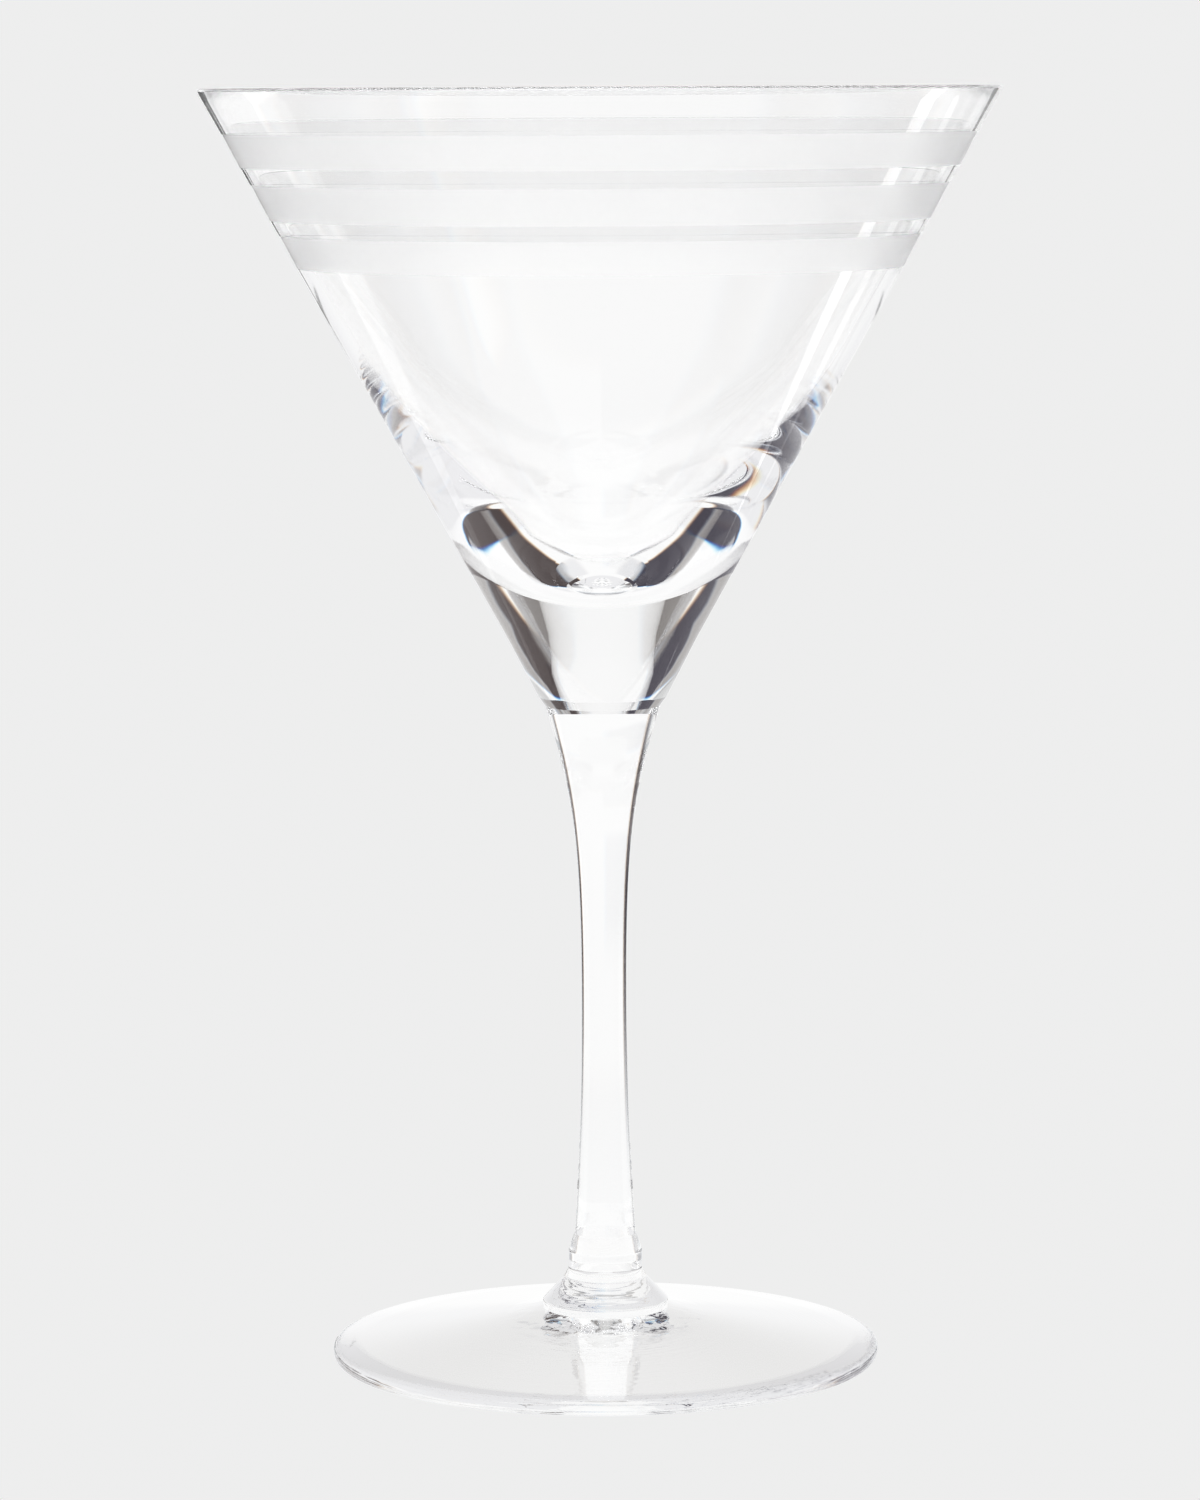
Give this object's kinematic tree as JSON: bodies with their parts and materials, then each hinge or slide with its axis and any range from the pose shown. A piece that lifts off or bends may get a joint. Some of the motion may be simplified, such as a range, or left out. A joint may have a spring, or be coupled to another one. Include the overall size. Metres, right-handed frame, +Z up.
{
  "type": "martini glass",
  "caption": "Clear stemmed cocktail glass: a wide straight-sided cone bowl with frosted rings near the rim, a heavy base, a slim drawn stem and a shallow conical foot.",
  "frame": {"origin": "centre of the foot's resting ring, on the surface that the glass stands on", "axes": "+Z up along the stem, from the foot to the rim; the glass is a figure of revolution, so X and Y are free"},
  "size_m": [0.1196, 0.1196, 0.192],
  "materials": {
    "clear_glass": "clear, polished",
    "frosted_glass": "satin etched"
  },
  "bodies": {
    "root": {"bowl": "clear_glass", "stem": "clear_glass", "stem_collar": "clear_glass", "foot": "clear_glass", "frosted_band_upper": "frosted_glass", "frosted_band_middle": "frosted_glass", "frosted_band_lower": "frosted_glass"}
  },
  "joints": []
}
